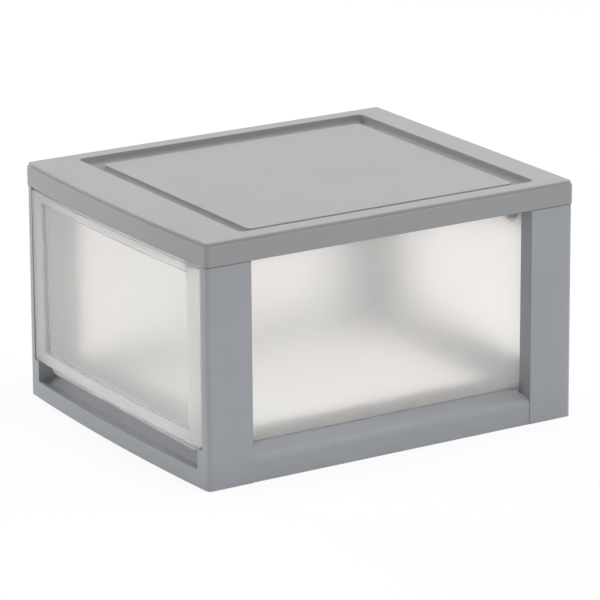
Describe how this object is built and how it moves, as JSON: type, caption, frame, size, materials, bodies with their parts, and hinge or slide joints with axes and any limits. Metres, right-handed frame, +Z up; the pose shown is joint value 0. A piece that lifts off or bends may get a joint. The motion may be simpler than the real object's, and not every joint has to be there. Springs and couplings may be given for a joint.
{
  "type": "stackable drawer box",
  "caption": "Stackable storage box on corner posts with a removable lid and a translucent tray that slides out behind a clear bowed front.",
  "frame": {"origin": "on the floor, under the middle of the box's overall outline", "axes": "+X to the right seen from the front, +Y to the back, +Z up; the drawer opens along -Y"},
  "size_m": [0.297, 0.3552, 0.2035],
  "materials": {
    "case_grey": "moulded satin",
    "lid_grey": "moulded satin",
    "tray_frosted": "frosted translucent",
    "front_clear": "clear gloss",
    "clip_tinted": "tinted translucent"
  },
  "bodies": {
    "case": {"case_body": "case_grey", "top_panel": "lid_grey"},
    "drawer": {"drawer_tray": "tray_frosted", "drawer_front": "front_clear", "stop_clip_left": "clip_tinted", "stop_clip_right": "clip_tinted"}
  },
  "joints": [
    {"name": "drawer_slide", "type": "slide", "parent": "case", "child": "drawer", "axis": [0, -1, 0], "range_m": [0, 0.293]}
  ]
}
